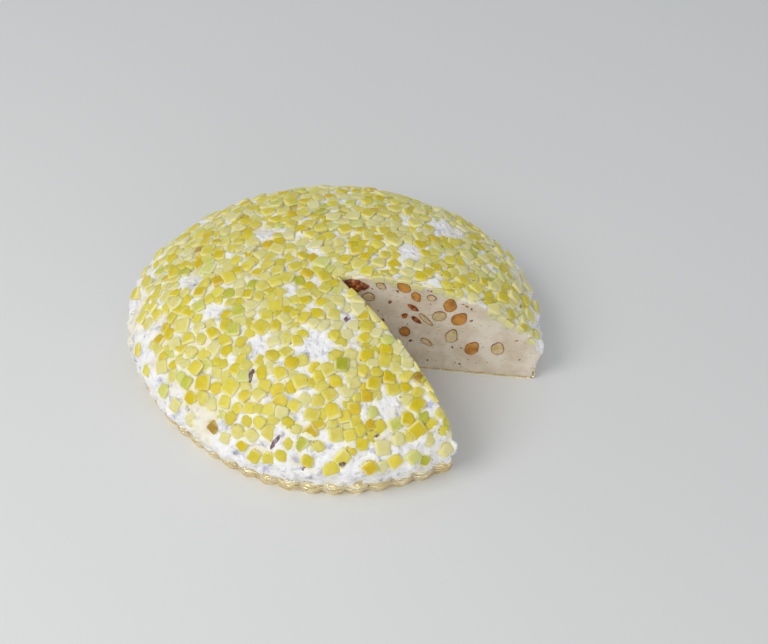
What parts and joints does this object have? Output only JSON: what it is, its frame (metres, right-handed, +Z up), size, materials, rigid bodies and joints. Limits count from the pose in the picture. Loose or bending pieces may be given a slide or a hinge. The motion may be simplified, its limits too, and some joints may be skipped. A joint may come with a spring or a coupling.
{
  "type": "round nougat cake",
  "caption": "Low domed round of white almond nougat, its skin set with candied citron dice, in a fluted gold paper case, with a wedge cut out.",
  "frame": {"origin": "centre of the case's underside, in the middle of the round's footprint, on the surface it stands on", "axes": "+Z up, out of the top of the dome; the cut wedge opens between -Y and +X, with -Y the side that faces a viewer"},
  "size_m": [0.283, 0.2786, 0.0833],
  "materials": {
    "nougat": "matt white nougat, dusty and slightly wrinkled outside, smooth where it is cut",
    "citron": "translucent candied citron, pale yellow to yellow-green, lightly sugared",
    "almond": "cut toasted almond flesh, cream to amber",
    "almond_skin": "toasted brown almond skin",
    "gold_paper": "gold foil on fluted card, satin"
  },
  "bodies": {
    "root": {"nougat": "nougat", "paper_case": "gold_paper", "almond_right_01": "almond_skin", "almond_right_02": "almond", "almond_right_03": "almond", "almond_right_04": "almond", "almond_right_05": "almond", "almond_right_06": "almond", "almond_right_07": "almond", "almond_right_08": "almond", "almond_right_09": "almond", "almond_right_10": "almond", "almond_right_11": "almond_skin", "almond_right_12": "almond_skin", "almond_right_13": "almond_skin", "almond_right_14": "almond", "almond_right_15": "almond", "almond_right_16": "almond", "almond_right_17": "almond", "almond_right_18": "almond", "almond_right_19": "almond", "almond_right_20": "almond", "almond_right_21": "almond", "almond_left_01": "almond", "almond_left_02": "almond", "almond_left_03": "almond", "almond_left_04": "almond", "almond_left_05": "almond", "almond_left_06": "almond", "almond_left_07": "almond", "almond_left_08": "almond", "almond_left_09": "almond_skin", "almond_left_10": "almond", "almond_left_11": "almond", "almond_left_12": "almond", "almond_left_13": "almond"}
  },
  "joints": []
}
